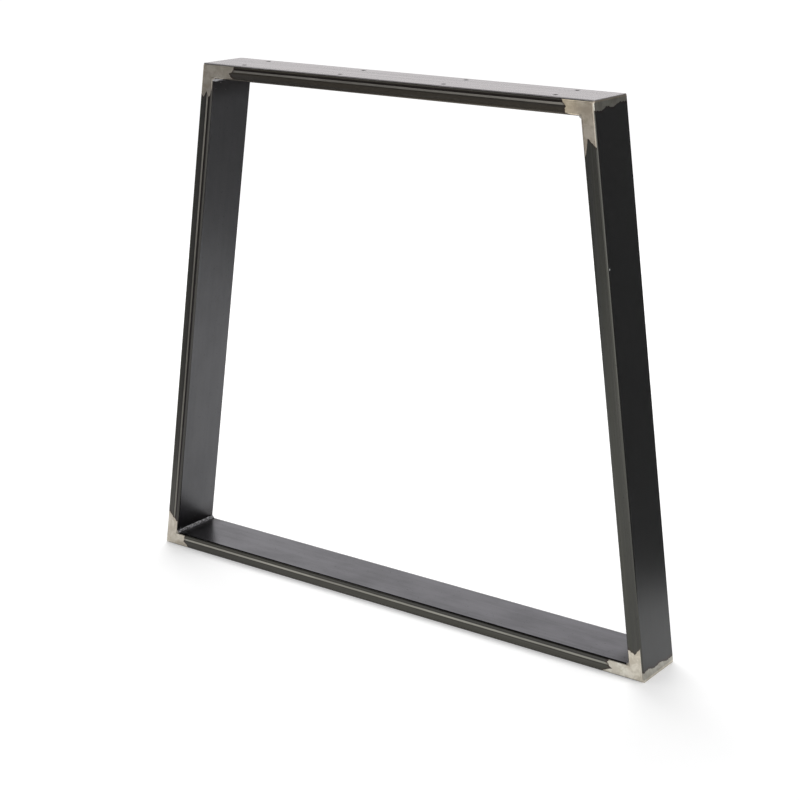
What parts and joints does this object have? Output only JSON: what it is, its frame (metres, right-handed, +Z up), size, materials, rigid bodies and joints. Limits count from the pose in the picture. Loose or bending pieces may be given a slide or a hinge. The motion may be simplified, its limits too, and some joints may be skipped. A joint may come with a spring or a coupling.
{
  "type": "trestle table leg",
  "caption": "Trapezoid table leg frame of rectangular steel tube, mitred and welded at the corners, with screw holes along its top rail.",
  "frame": {"origin": "on the floor, at the middle of the foot rail's length and depth", "axes": "+X along the foot rail to the right seen from the front, +Y from the front face to the back, +Z up to the table top"},
  "size_m": [0.8, 0.08, 0.71],
  "materials": {
    "tube_steel": "raw cold-rolled steel under clear lacquer",
    "ground_weld": "ground bright and clear lacquered",
    "weld_bead": "as welded, wire brushed, clear lacquered"
  },
  "bodies": {
    "root": {"bottom_rail": "tube_steel", "right_leg": "tube_steel", "top_rail": "tube_steel", "left_leg": "tube_steel", "corner_weld_bottom_left": "ground_weld", "front_weld_bottom_left": "ground_weld", "back_weld_bottom_left": "ground_weld", "corner_weld_bottom_right": "ground_weld", "front_weld_bottom_right": "ground_weld", "back_weld_bottom_right": "ground_weld", "corner_weld_top_right": "ground_weld", "front_weld_top_right": "ground_weld", "back_weld_top_right": "ground_weld", "corner_weld_top_left": "ground_weld", "front_weld_top_left": "ground_weld", "back_weld_top_left": "ground_weld", "inside_weld_bottom_left": "weld_bead", "inside_weld_bottom_right": "weld_bead", "inside_weld_top_right": "weld_bead", "inside_weld_top_left": "weld_bead"}
  },
  "joints": []
}
